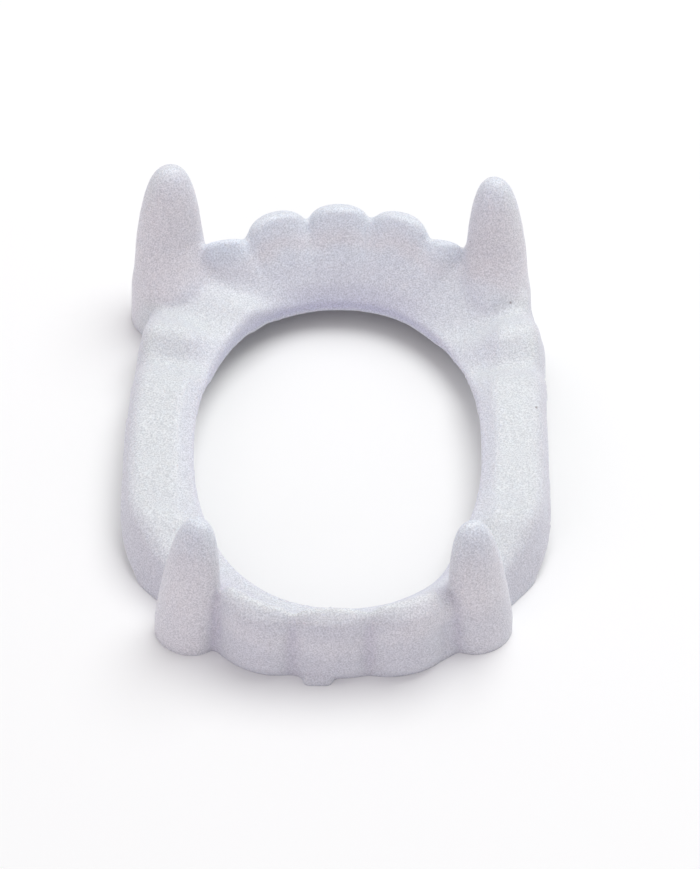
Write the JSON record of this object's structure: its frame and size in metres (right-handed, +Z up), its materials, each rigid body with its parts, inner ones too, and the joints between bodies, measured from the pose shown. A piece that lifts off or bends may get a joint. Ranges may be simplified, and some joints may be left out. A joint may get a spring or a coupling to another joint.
{
  "type": "vampire fang denture",
  "caption": "One-piece costume denture with long fangs, laid open flat: two tooth arches joined by bending side straps round an oval mouth opening.",
  "frame": {"origin": "middle of the footprint, at the level of the surface that the denture lies on", "axes": "+Y from the lower arch towards the upper arch, +X to the right when looking along +Y, +Z up, the way that the teeth point when the denture lies open"},
  "size_m": [0.056, 0.0748, 0.023],
  "materials": {
    "white_plastic": "soft, slightly milky white plastic with a fine dull moulded surface"
  },
  "bodies": {
    "root": {"fang_denture": "white_plastic"}
  },
  "joints": []
}
